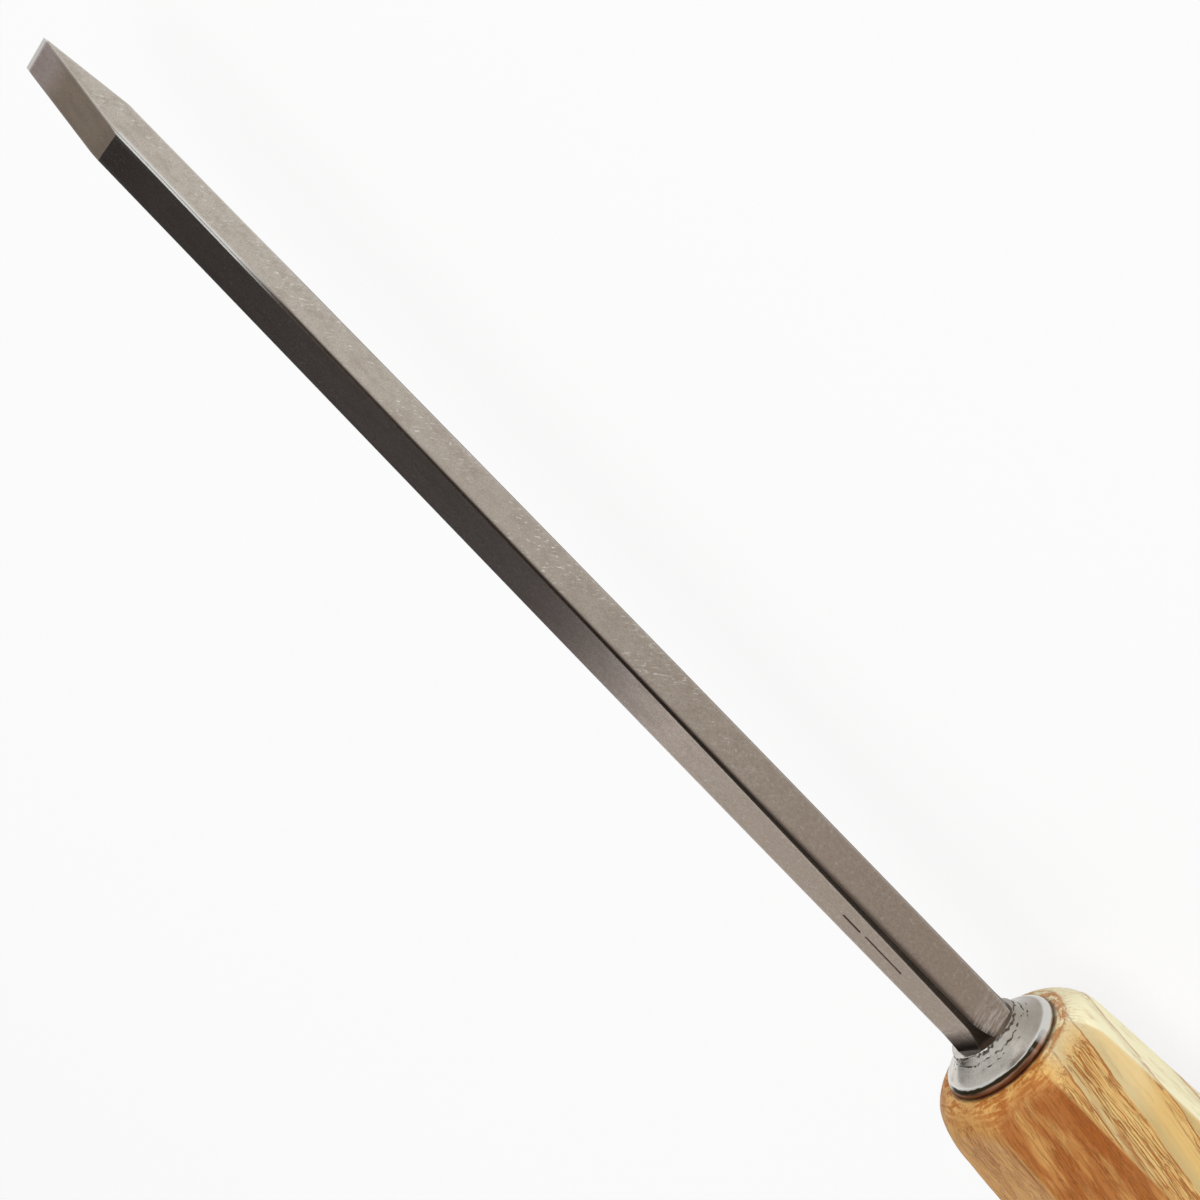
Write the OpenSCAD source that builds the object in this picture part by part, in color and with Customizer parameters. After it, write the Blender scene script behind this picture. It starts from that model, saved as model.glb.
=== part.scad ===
// Flat carving chisel: a forged blade with its tang, a turned collar, a ring inside the handle's nose
// and an octagonal ash handle. Lengths in millimetres. The tool lies along X with its edge at +X, the
// broad faces of the blade look up and down, and Z = 0 is the lowest line of the handle.

/* [Cutting edge] */
// Width of the cutting edge
edge_w = 6; // [3:0.25:10]
// Distance from the handle's front face to the cutting edge
blade_reach = 134.4; // [100:0.1:170]
// Length of the upper bevel, measured back from the edge
bevel_top = 10.3; // [6:0.1:16]
// Length of the lower bevel, measured back from the edge
bevel_bottom = 9.2; // [6:0.1:16]
// Length of the honed strip along the edge
hone_len = 0.7; // [0.3:0.05:1.5]
// Thickness at the back of the honed strip
hone_t = 0.32; // [0.2:0.02:0.6]
// Thickness left at the very edge
edge_land = 0.06; // [0.04:0.01:0.15]

/* [Shank] */
// Thickness of the shank where the upper bevel starts
heel_t = 3.1; // [2.4:0.05:4.5]
// Thickness of the shank at its foot
foot_t = 5.1; // [4.8:0.05:6]
// Width of the shank at its foot
foot_w = 5.3; // [4.8:0.05:6]
// Distance behind the edge where the sides start to draw in
narrow_from = 50; // [20:1:75]
// Corner chamfer of the shank near the edge
chamfer_tip = 0.17; // [0.1:0.01:0.4]
// Corner chamfer of the shank at its foot
chamfer_foot = 0.5; // [0.2:0.01:0.8]
// Distance behind the edge where the chamfer starts to widen
chamfer_from = 60; // [20:1:75]

/* [Foot and collar] */
// Diameter of the collar over its rim
collar_d = 13.3; // [12:0.1:15]
// Radius of the rounded rim
rim_round = 0.75; // [0.5:0.05:1.1]
// Distance from the handle to the middle of the rim
rim_stand = 0.37; // [0.2:0.01:0.6]
// Steepness of the hollow where it leaves the rim, in degrees from the axis
hollow_steep = 70; // [62:1:76]
// Lengthwise radius of the hollow
hollow_r = 3.65; // [3.2:0.05:4.5]
// Length of the collar, up to its seam with the foot of the blade
collar_len = 3.2; // [2.6:0.05:3.8]
// How far each face of the shank flares out at its foot
flare_out = 0.45; // [0.3:0.05:0.6]
// Lengthwise radius of that flare
flare_r = 10; // [6:0.5:15]

/* [Tang] */
// Diameter of the round neck that carries the collar and the inner ring
neck_d = 5.4; // [4.4:0.1:5.7]
// Reach of the tang into the handle
tang_len = 78; // [50:1:100]
// Side of the square tang at its end
tang_tip = 1.8; // [1:0.1:3]
// Step from the round neck down to the corners of the tang
tang_step = 0.15; // [0.1:0.01:0.4]

/* [Inner ferrule] */
// Outside diameter of the ring in the handle's nose
ferrule_d = 11; // [9:0.1:12]
// Length of the ring
ferrule_len = 14; // [8:0.5:25]

/* [Handle] */
// Length of the handle
handle_len = 137; // [115:1:160]
// Width across the flats where they run out into the nose
nose_af = 19.7; // [18:0.1:22]
// Diameter of the handle's flat front face
nose_face_d = 14.2; // [13.5:0.1:16]
// Length of the turned nose, a quarter ellipse
nose_len = 5.8; // [4:0.1:9]
// Slope of the front flats, in degrees from the axis
front_slope = 3.6; // [2:0.1:5]
// Distance behind the front face where the straight front flats end
flats_end = 52; // [35:1:60]
// Lengthwise radius of the swell
swell_r = 420; // [250:10:600]
// Slope of the rear flats, in degrees from the axis
rear_slope = 2.2; // [0.5:0.1:4]
// Length of the domed butt
butt_len = 5; // [4.5:0.1:8]
// Radius that eases the dome into the flats
butt_round = 3; // [1:0.1:3.5]

/* [Fits] */
// Gap all round between two steel pieces that are pressed together
press_gap = 0.02; // [0.01:0.01:0.05]
// Gap all round between the wood and the steel driven into it
wood_gap = 0.05; // [0.02:0.01:0.1]
// Empty depth left in the handle past the tang
tip_gap = 1; // [0.5:0.1:3]

/* [Hidden] */
$fn = 96;
sides = 8;
curve_steps = 16;
flare_steps = 8;
// How far a cut runs on past the face it opens, and the length of an extrusion that goes right through
cut_over = 1;
// How far the neck runs on inside the foot
neck_run = 0.2;
// How far the hollow bites into the rim, so that the two arcs cross
rim_bite = 0.003;
through_len = 4 * handle_len;

// Lengthwise places are measured along the axis from the handle's front face
butt_u = -handle_len;
corner = 1 / cos(180 / sides);
corner_ease = 0.05;
nose_corner_r = nose_af / 2 * corner + corner_ease;

// Half width across the flats along the handle: front slope, swell, rear slope
flats_end_a = nose_af / 2 + tan(front_slope) * (flats_end - nose_len);
swell_a = flats_end_a + swell_r * (1 - cos(front_slope));
function swell_point(slope) = [
    -flats_end - swell_r * (sin(front_slope) - sin(slope)),
    flats_end_a + swell_r * (cos(slope) - cos(front_slope))
];
swell_end = swell_point(-rear_slope);
function rear_a(u) = swell_end[1] - tan(rear_slope) * (swell_end[0] - u);

// The dome of the butt and the round that eases it into the corners of the flats
round_u = butt_u + butt_len;
butt_corner_r = rear_a(round_u) * corner + corner_ease;
round_r = butt_corner_r - butt_round;
dome_r = (pow(round_r, 2) + pow(butt_len, 2) - pow(butt_round, 2)) / (butt_len - butt_round) / 2;

// The hollow of the collar: an arc that leaves the rim at its steepest and flattens toward the shank
rim_r = collar_d / 2 - rim_round;
function from_rim(distance) = [rim_r, rim_stand] + distance * [cos(hollow_steep), sin(hollow_steep)];
hollow_start = from_rim(rim_round - rim_bite / 2);
hollow_centre = from_rim(rim_round + hollow_r - rim_bite);

// Square tang whose corners pass through the bore of the collar and of the ring
neck_r = neck_d / 2;
tang_root = (neck_d - 2 * tang_step) / sqrt(2);

// Each shank face flares out and ends on the collar's front face
flare_turn = acos(1 - flare_out / flare_r);
foot_u = collar_len + flare_r * sin(flare_turn);

// Shank sizes at a distance behind the edge
shank_len = blade_reach - foot_u;
function drawn_in(d, from) = pow(max(0, d - from) / (shank_len - from), 2);
function half_w(d) = (edge_w - (edge_w - foot_w) * drawn_in(d, narrow_from)) / 2;
function half_t(d) = (heel_t + (foot_t - heel_t) * (d - bevel_top) / (shank_len - bevel_top)) / 2;
function chamfer(d) = chamfer_tip + (chamfer_foot - chamfer_tip) * drawn_in(d, chamfer_from);
function chamfer_h(d) = (half_w(d) + half_t(d) - chamfer(d)) / sqrt(2);

function steps(from, to, count) = [for (i = [0 : count]) from + (to - from) * i / count];
function mirrored(points) = concat(
    points,
    [for (i = [len(points) - 1 : -1 : 0]) [points[i][0], -points[i][1]]]
);

// One face's flare into the foot, from the straight shank outward
function flare(half) = [
    for (turn = steps(0, flare_turn, flare_steps))
        [foot_u - flare_r * sin(turn), half + flare_r * (1 - cos(turn))]
];

// Everything is drawn along the axis first, then set down with the handle's swell on Z = 0
module place() {
    translate([-(blade_reach - handle_len) / 2, 0, swell_a])
        children();
}

// Turns a profile drawn as [radius, place along the axis] about the tool's axis
module turned() {
    rotate([0, 90, 0])
        rotate_extrude()
            children();
}

module turned_cylinder(radius, from, to) {
    translate([from, 0, 0])
        rotate([0, 90, 0])
            cylinder(r = radius, h = to - from);
}

// Extrudes an outline drawn along the axis right through, facing the side that angle gives
module through(angle) {
    rotate([angle + 90, 0, 0])
        linear_extrude(height = through_len, center = true)
            children();
}

// Half section of the collar, with no bore yet
module collar_section() {
    hollow_floor = [hollow_centre[0] - hollow_r, hollow_centre[1]];
    intersection() {
        difference() {
            union() {
                translate([rim_r, rim_stand])
                    circle(r = rim_round);
                polygon([[0, 0], [rim_r, 0], hollow_start, hollow_floor, [0, hollow_floor[1]]]);
            }
            translate(hollow_centre)
                circle(r = hollow_r, $fn = 4 * $fn);
        }
        square([collar_d, collar_len]);
    }
}

module shank_side() {
    polygon(concat(
        [[blade_reach, -edge_land / 2], [blade_reach, edge_land / 2]],
        [[blade_reach - hone_len, hone_t / 2], [blade_reach - bevel_top, half_t(bevel_top)]],
        mirrored(flare(half_t(shank_len))),
        [[blade_reach - bevel_bottom, -half_t(bevel_bottom)], [blade_reach - hone_len, -hone_t / 2]]
    ));
}

module shank_plan() {
    side = [
        for (d = concat([0], steps(narrow_from, shank_len, curve_steps)))
            [blade_reach - d, half_w(d)]
    ];
    run_on = [collar_len - cut_over, half_w(shank_len) + flare_out];
    polygon(mirrored(concat(side, flare(half_w(shank_len)), [run_on])));
}

module chamfer_plan() {
    line = [
        for (d = concat([0], steps(chamfer_from, blade_reach - collar_len + cut_over, curve_steps)))
            [blade_reach - d, chamfer_h(d)]
    ];
    polygon(mirrored(line));
}

module shank() {
    intersection() {
        through(0)
            shank_side();
        through(-90)
            shank_plan();
        through(45)
            chamfer_plan();
        through(-45)
            chamfer_plan();
    }
}

// Square tang, straight inside the neck and tapering behind it, grown all round and lengthened
module tang(gap, extra) {
    slope = (tang_root - tang_tip) / (tang_len - ferrule_len) / 2;
    end_u = -tang_len - extra;
    root = tang_root / 2 + gap;
    end = tang_tip / 2 + gap - slope * extra;
    outline = mirrored([[0, root], [-ferrule_len, root], [end_u, end]]);
    intersection() {
        through(0)
            polygon(outline);
        through(-90)
            polygon(outline);
    }
}

module blade() {
    color("#8d867c")
        place()
            union() {
                shank();
                turned_cylinder(neck_r, -ferrule_len, collar_len + neck_run);
                tang(0, 0);
            }
}

module collar() {
    color("#b9bcc0")
        place()
            difference() {
                turned()
                    collar_section();
                turned_cylinder(neck_r + press_gap, -cut_over, collar_len + cut_over);
            }
}

module inner_ferrule() {
    color("#9a9a98")
        place()
            difference() {
                turned_cylinder(ferrule_d / 2, -ferrule_len, 0);
                turned_cylinder(neck_r + press_gap, -ferrule_len - cut_over, cut_over);
            }
}

// One pair of opposite flats, seen from the side
module flats_outline() {
    swell = [for (slope = steps(front_slope, -rear_slope, curve_steps)) swell_point(slope)];
    front = [0, nose_af / 2 - tan(front_slope) * nose_len];
    polygon(mirrored(concat([front], swell, [[butt_u, rear_a(butt_u)]])));
}

// All eight flats, each pair a straight prism across the tool
module flats() {
    intersection_for(i = [0 : sides / 2 - 1])
        through(i * 360 / sides)
            flats_outline();
}

// Round limits of the handle: the turned nose in front and the domed butt behind
module turned_ends() {
    nose_drop = nose_corner_r - nose_face_d / 2;
    nose = [
        for (turn = steps(90, 0, curve_steps))
            [nose_face_d / 2 + nose_drop * cos(turn), nose_len * (sin(turn) - 1)]
    ];
    clear_r = 2 * swell_a;
    dome_turn = asin(round_r / (dome_r - butt_round));
    round = [
        for (turn = steps(0, 90 - dome_turn, curve_steps))
            [round_r + butt_round * cos(turn), round_u - butt_round * sin(turn)]
    ];
    dome = [
        for (turn = steps(dome_turn, 0, curve_steps))
            [dome_r * sin(turn), butt_u + dome_r * (1 - cos(turn))]
    ];
    polygon(concat([[0, 0]], nose, [[clear_r, -nose_len], [clear_r, round_u]], round, dome));
}

module handle() {
    color("#c98c4a")
        place()
            difference() {
                intersection() {
                    flats();
                    turned()
                        turned_ends();
                }
                turned_cylinder(ferrule_d / 2 + wood_gap, -ferrule_len, cut_over);
                turned_cylinder(neck_r + wood_gap, -ferrule_len - wood_gap, 0);
                tang(wood_gap, tip_gap);
            }
}

blade();
collar();
inner_ferrule();
handle();
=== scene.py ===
"""Looks of a flat carving chisel: ground steel blade, polished collar and octagonal ash handle."""
import math

import bpy
import numpy as np
from mathutils import Matrix, Vector


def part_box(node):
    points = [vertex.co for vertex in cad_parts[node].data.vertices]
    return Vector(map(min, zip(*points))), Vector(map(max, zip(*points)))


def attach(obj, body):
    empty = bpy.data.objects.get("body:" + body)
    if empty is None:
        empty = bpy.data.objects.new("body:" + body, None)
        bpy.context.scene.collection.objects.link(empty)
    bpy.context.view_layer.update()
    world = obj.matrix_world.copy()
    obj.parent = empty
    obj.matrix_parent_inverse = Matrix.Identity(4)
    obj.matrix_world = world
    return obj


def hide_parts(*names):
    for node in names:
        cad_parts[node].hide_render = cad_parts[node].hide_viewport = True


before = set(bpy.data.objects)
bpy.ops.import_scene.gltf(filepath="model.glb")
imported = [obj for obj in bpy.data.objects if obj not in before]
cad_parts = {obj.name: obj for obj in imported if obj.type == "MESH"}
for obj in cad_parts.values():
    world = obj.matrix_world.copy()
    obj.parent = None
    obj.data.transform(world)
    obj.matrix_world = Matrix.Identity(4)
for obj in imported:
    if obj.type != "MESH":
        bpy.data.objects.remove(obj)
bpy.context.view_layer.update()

bl_info = {
    "name": "Flat carving chisel",
    "version": (1, 0, 0),
    "blender": (4, 5, 0),
    "location": "View3D > Sidebar > Chisel",
    "description": "Builds a carving chisel's blade, collar and handle with their finishes",
    "category": "Add Mesh",
}

# Lengths are in metres. A place u is on the tool's axis, from 0 at the handle's front face toward the edge.
MM = 0.001
BLADE_LOW, BLADE_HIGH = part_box("blade")
HANDLE_LOW, HANDLE_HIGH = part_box("handle")
COLLAR_LOW, COLLAR_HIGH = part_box("collar")
FERRULE_LOW, FERRULE_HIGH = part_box("inner_ferrule")
FRONT_X = HANDLE_HIGH.x
AXIS_Z = (HANDLE_LOW.z + HANDLE_HIGH.z) / 2
# Faces that meet at a larger angle than this keep a sharp edge between them.
SHARP_FROM = math.radians(38)

# The shank's eight sides are numbered round it from an upper chamfer, so chamfers have even numbers.
NARROW_SIDES = (1, 5)
BROAD_SIDES = (3, 7)
TOP_SIDE = 7
# Rows this near to a break in the shank's faces keep it crisp.
CRISP = 0.03 * MM
# The stretch of the shank that holds the plain grooves, then the start, end, sideways shift and share of the
# full width of each groove.
GROOVED = (13 * MM, 24 * MM)
GROOVES = (
    (20.3 * MM, 22.6 * MM, 0, 1),
    (14.2 * MM, 19.4 * MM, 0.15 * MM, 0.8),
)

# Half the angle of one of the handle's flats, a corner's reach over a flat's, and the room past that corner.
HALF_SIDE = math.pi / 8
CORNER_SHARE = 1 / math.cos(HALF_SIDE)
CORNER_EASE = 0.05 * MM

# The camera stands where the photograph's did. Its focal length is in pixels of the square picture.
CAMERA_PLACE = Vector((0.102594, -0.176538, 0.117119))
CAMERA_AIM = Vector((0.064389, -0.004457, 0.013585))
CAMERA_ROLL = math.radians(140.46)
PICTURE_SIDE = 1200
FOCAL_PIXELS = 2164.15
SENSOR = 36.0
NEAREST_SEEN = 0.01

# Name, place, side and power in watts of each lamp.
LAMPS = (
    ("front_lamp", (0.1, -0.75, 0.03), 0.5, 2.95),
    ("right_lamp", (0.35, -0.5, 0.85), 0.9, 3.4),
)
# The floor's half side, its own white, the share of its shading that shows, and the white shown behind all.
FLOOR_REACH = 6.0
FLOOR_WHITE = 0.925
SHADOW_SHARE = 0.15
BACKGROUND = 1.0


def linear(red, green, blue):
    """Scene-linear colour from 0 to 255 display values."""
    share = np.array([red, green, blue]) / 255
    return tuple(np.where(share <= 0.04045, share / 12.92, ((share + 0.055) / 1.055) ** 2.4).tolist())


def length(name, default, description):
    """A length property in metres."""
    return bpy.props.FloatProperty(
        name=name, description=description, default=default, unit="LENGTH", precision=5, min=0.0)


def angle(name, degrees, description):
    """An angle property."""
    return bpy.props.FloatProperty(
        name=name, description=description, default=math.radians(degrees), subtype="ANGLE")


def tint(name, display, description):
    """A colour property, given by its display values."""
    return bpy.props.FloatVectorProperty(
        name=name, description=description, default=linear(*display), subtype="COLOR", size=3,
        min=0.0, max=1.0)


class ChiselSizes(bpy.types.PropertyGroup):
    """Sizes of the chisel, in metres along and across its axis."""
    blade_reach: length("Blade reach", BLADE_HIGH.x - FRONT_X, "Handle's front face to cutting edge")
    edge_width: length("Edge width", 6 * MM, "Width of the cutting edge")
    bevel_top: length("Upper bevel", 10.3 * MM, "Length of the upper bevel")
    bevel_bottom: length("Lower bevel", 9.2 * MM, "Length of the lower bevel")
    hone_length: length("Honed strip", 0.7 * MM, "Length of the honed strip along the edge")
    hone_thickness: length("Hone thickness", 0.32 * MM, "Thickness behind the honed strip")
    edge_land: length("Edge land", 0.06 * MM, "Thickness at the very edge")
    heel_thickness: length("Heel thickness", 3.1 * MM, "Shank thickness where the upper bevel starts")
    foot_thickness: length("Foot thickness", 5.1 * MM, "Shank thickness at its foot")
    foot_width: length("Foot width", 5.3 * MM, "Shank width at its foot")
    narrow_from: length("Narrowing start", 50 * MM, "Distance behind the edge where the sides draw in")
    chamfer_tip: length("Tip chamfer", 0.17 * MM, "Corner chamfer near the edge")
    chamfer_foot: length("Foot chamfer", 0.5 * MM, "Corner chamfer at the foot")
    lower_chamfer: bpy.props.FloatProperty(
        name="Lower chamfer", description="Share of the chamfer on the lower corners", default=0.4,
        min=0.0, max=1.0)
    chamfer_from: length("Chamfer start", 60 * MM, "Distance behind the edge where the chamfer widens")
    corner_soft: length("Corner softness", 0.05 * MM, "Ease on the shank's corners")
    collar_diameter: length("Collar diameter", COLLAR_HIGH.y - COLLAR_LOW.y, "Diameter over its rim")
    rim_round: length("Rim radius", 0.75 * MM, "Radius of the collar's rounded rim")
    rim_stand: length("Rim stand", 0.37 * MM, "Handle to the middle of the rim")
    hollow_steep: angle("Hollow steepness", 70, "Slope of the hollow where it leaves the rim")
    hollow_radius: length("Hollow radius", 3.65 * MM, "Lengthwise radius of the collar's hollow")
    collar_length: length("Collar length", 3.2 * MM, "Collar's length up to its seam with the blade")
    flare_out: length("Flare", 0.45 * MM, "How far each face of the shank flares out at its foot")
    flare_radius: length("Flare radius", 10 * MM, "Lengthwise radius of that flare")
    groove_width: length("Groove width", 0.16 * MM, "Width of the plain grooves punched near the foot")
    groove_depth: length("Groove depth", 0.07 * MM, "Depth of those grooves")
    neck_diameter: length("Neck diameter", 5.4 * MM, "Diameter of the round neck under the collar")
    tang_length: length("Tang length", FRONT_X - BLADE_LOW.x, "Reach of the tang into the handle")
    tang_tip: length("Tang end", 1.8 * MM, "Side of the square tang at its end")
    tang_step: length("Tang step", 0.15 * MM, "Step from the neck down to the tang's corners")
    ferrule_diameter: length("Ring diameter", FERRULE_HIGH.y - FERRULE_LOW.y, "Ring inside the nose")
    ferrule_length: length("Ring length", FERRULE_HIGH.x - FERRULE_LOW.x, "Length of that ring")
    handle_length: length("Handle length", FRONT_X - HANDLE_LOW.x, "Length of the handle")
    nose_flats: length("Nose flats", 19.7 * MM, "Width across the flats at the nose")
    nose_face: length("Nose face", 14.2 * MM, "Diameter of the handle's front face")
    nose_length: length("Nose length", 5.8 * MM, "Length of the turned nose")
    front_slope: angle("Front slope", 3.6, "Slope of the front flats")
    flats_end: length("Front flats", 52 * MM, "Distance from the front face to the start of the swell")
    swell_radius: length("Swell radius", 420 * MM, "Lengthwise radius of the swell")
    rear_slope: angle("Rear slope", 2.2, "Slope of the rear flats")
    butt_length: length("Butt length", 5 * MM, "Length of the domed butt")
    butt_round: length("Butt radius", 3 * MM, "Radius that eases the dome into the flats")
    ridge_soft: length("Ridge radius", 0.45 * MM, "Radius of the handle's sanded ridges")
    nose_relief: length("Nose relief", 0.1 * MM, "Depth of the torn grain on the turned nose")
    nose_soft: length("Nose ease", 0.35 * MM, "Ease where the flats run into the turned ends")
    press_gap: length("Press gap", 0.02 * MM, "Gap between pressed steel pieces")
    wood_gap: length("Wood gap", 0.05 * MM, "Gap between wood and driven steel")
    tip_gap: length("Tang room", 1 * MM, "Empty depth past the tang")


class ChiselColours(bpy.types.PropertyGroup):
    """Colours of the chisel's finishes."""
    steel: tint("Blade steel", (192, 184, 173), "Ground steel of the blade")
    steel_foot: tint("Foot steel", (143, 128, 115), "Steel toward the foot of the blade")
    broad: tint("Broad faces", (196, 179, 173), "Broad faces of the shank toward the edge")
    bevel: tint("Bevel", (178, 159, 140), "Ground bevels")
    bevel_edge: tint("Bevel at the edge", (208, 190, 184), "Bevels beside the honed strip")
    # Also a painted highlight on the chamfers near the edge and along every corner.
    bright: tint("Worn steel", (226, 225, 221), "Bright steel on worn edges and specks")
    # Also painted shade at the collar, and painted dark reflection on the chamfers and the top face.
    stain_and_shade: tint("Stain", (64, 50, 43), "Brown stain in scratches, in pits and on the wood at the collar")
    collar: tint("Collar", (216, 211, 202), "Polished collar")
    # The rim's colours are partly a dark film and partly painted dark reflection; the brown is partly a
    # painted reflection of the wood.
    rim_brown: tint("Rim edge", (156, 114, 90), "Brown film on the outermost rim")
    rim_olive: tint("Rim film", (58, 50, 34), "Dark film on the collar's rim")
    # This is painted shade: the collar's lower side is drawn darker.
    shaded_steel: tint("Collar film", (162, 156, 146), "Duller steel on the collar's lower side")
    ferrule: tint("Inner ring", (168, 168, 166), "Plain ring inside the nose")
    earlywood: tint("Earlywood", (223, 187, 119), "Porous pale bands of the ash")
    latewood: tint("Latewood", (201, 174, 119), "Dense bands of the ash")
    # Also painted light on the lower front facets.
    sapwood_and_light: tint("Sapwood", (255, 249, 210), "Palest wood, on the bark side")
    # Also painted shade on the upper facets.
    heartwood_and_shade: tint("Heartwood", (179, 115, 61), "Brown wood, on the pith side")
    heart_late: tint("Dark heartwood", (162, 91, 40), "Dense bands of the brown wood")
    tan: tint("Tan heartwood", (216, 167, 99), "Paler brown wood in patches and on the upper facet")
    pore: tint("Pores", (160, 86, 26), "Open pores filled with varnish")
    end_grain: tint("End grain", (244, 192, 112), "Turned nose, where the fibres are cut across")
    end_dark: tint("Dark end grain", (200, 126, 54), "Darker wrinkles of the turned nose")


def ramp(start, stop, count):
    """Evenly spaced values."""
    return np.linspace(start, stop, count)


def on_circle(turn):
    """Points of a circle of radius 1."""
    return np.stack([np.cos(turn), np.sin(turn)], axis=-1)


def soft_min(a, b, ease):
    """The smaller of a and b, with the corner between them rounded over a difference of ease."""
    blend = np.clip(0.5 + 0.5 * (b - a) / ease, 0, 1)
    return b + (a - b) * blend - ease * blend * (1 - blend)


def scattered(order, seed=0.0):
    """Angles that look random and never change: the fraction of a large multiple of a sine, as a turn."""
    step, shift, gain = 12.9898, 78.233, 43758.5453
    return np.modf(np.sin(order * step + seed * shift) * gain)[0] * 2 * np.pi


def ragged(turn, seed):
    """An uneven line round the axis from 0 to 1: sines of whole-number frequency with scattered phases."""
    order = np.arange(1, 15)
    frequency = order * 3 + np.floor(5 * np.abs(np.sin(order * 3.7 + seed)))
    waves = np.sin(turn[..., None] * frequency + scattered(order, seed)) / np.sqrt(order)
    return np.clip(0.5 + 0.22 * waves.sum(-1), 0, 1)


def torn_grain(turn, along):
    """Creases from 0 to 1 over a turned face: exp(-w * w), where w is a sum of crossing sines.

    Each sine has a whole number of waves round the axis, so the creases meet where the turn closes.
    """
    order = np.arange(1, 19)
    around = np.round(20 + 36 * np.abs(np.sin(order * 2.3)))
    lengthwise = 2.5 / MM * np.sin(order * 1.7)
    waves = np.sin(turn[..., None] * around + along[..., None] * lengthwise + scattered(order))
    return np.exp(-waves.sum(-1) ** 2)


def surface(name, grid, closed_rows=False, marks=None):
    """A mesh from a grid of points: columns close round the axis, rows close into a ring or end in caps."""
    rows, columns = grid.shape[:2]
    points = grid.reshape(-1, 3)
    index = np.arange(rows * columns).reshape(rows, columns)
    across = np.roll(index, -1, axis=1)
    after = np.roll(index, -1, axis=0)
    after_across = np.roll(across, -1, axis=0)
    quads = np.stack([index, across, after_across, after], axis=-1)
    if not closed_rows:
        quads = quads[:-1]
    faces = quads.reshape(-1, 4).tolist()
    if not closed_rows:
        poles = np.stack([grid[0].mean(0), grid[-1].mean(0)])
        points = np.concatenate([points, poles])
        first, last = rows * columns, rows * columns + 1
        start = np.stack([np.full(columns, first), across[0], index[0]], axis=-1)
        stop = np.stack([np.full(columns, last), index[-1], across[-1]], axis=-1)
        faces += start.tolist() + stop.tolist()
    mesh = bpy.data.meshes.new(name)
    mesh.from_pydata(points.tolist(), [], faces)
    for mark, values in (marks or {}).items():
        filled = np.zeros(len(points), np.float32)
        filled[:rows * columns] = values.reshape(-1)
        mesh.attributes.new(mark, "FLOAT", "POINT").data.foreach_set("value", filled)
    mesh.polygons.foreach_set("use_smooth", np.ones(len(mesh.polygons), bool))
    mesh.set_sharp_from_angle(angle=SHARP_FROM)
    mesh.validate()
    mesh.update()
    return mesh


def add_piece(name, mesh, material, node):
    """Adds a finished piece that stands for a CAD node and rides on the tool's one body."""
    piece = bpy.data.objects.new(name, mesh)
    bpy.context.scene.collection.objects.link(piece)
    mesh.materials.append(material)
    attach(piece, "root")
    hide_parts(node)


def tang_root(size):
    """Half the side of the square tang where it leaves the neck."""
    return (size.neck_diameter / 2 - size.tang_step) / math.sqrt(2)


class Blade:
    """Shank shapes worked out from the sizes; d is the distance behind the edge, u the place on the axis."""

    def __init__(self, size):
        self.size = size
        flare_reach = math.sqrt(size.flare_radius ** 2 - (size.flare_radius - size.flare_out) ** 2)
        self.foot_u = size.collar_length + flare_reach
        self.shank = size.blade_reach - self.foot_u

    def drawn_in(self, d, start):
        """Share of a change that grows with the square of the distance past its start."""
        return (np.maximum(0, d - start) / (self.shank - start)) ** 2

    def half_width(self, d):
        """Half the shank's width."""
        size = self.size
        lost = (size.edge_width - size.foot_width) * self.drawn_in(d, size.narrow_from)
        return (size.edge_width - lost) / 2

    def half_thickness(self, d):
        """Half the shank's thickness."""
        size = self.size
        share = (d - size.bevel_top) / (self.shank - size.bevel_top)
        return (size.heel_thickness + (size.foot_thickness - size.heel_thickness) * share) / 2

    def corner_reach(self, d, share=1):
        """Sum of height and width that the chamfer, or a share of it, leaves at a corner."""
        size = self.size
        widening = (size.chamfer_foot - size.chamfer_tip) * self.drawn_in(d, size.chamfer_from)
        return self.half_width(d) + self.half_thickness(d) - share * (size.chamfer_tip + widening)

    def bevelled(self, d, bevel):
        """Half thickness on one face: the honed strip, the bevel behind it, then the shank."""
        size = self.size
        stops = [0, size.hone_length, bevel]
        heights = [size.edge_land / 2, size.hone_thickness / 2, float(self.half_thickness(bevel))]
        return np.where(d < bevel, np.interp(d, stops, heights), self.half_thickness(d))

    def flare(self, u):
        """How far the shank's faces have flared out at a place on the axis."""
        into_foot = np.clip(self.foot_u - u, 0, None)
        return self.size.flare_radius - np.sqrt(self.size.flare_radius ** 2 - into_foot ** 2)


def near_ends(count):
    """Shares of a side, closer together at its two ends."""
    return np.concatenate([[0, 0.012, 0.03], ramp(0.06, 0.94, count), [0.97, 0.988, 1]])


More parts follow.
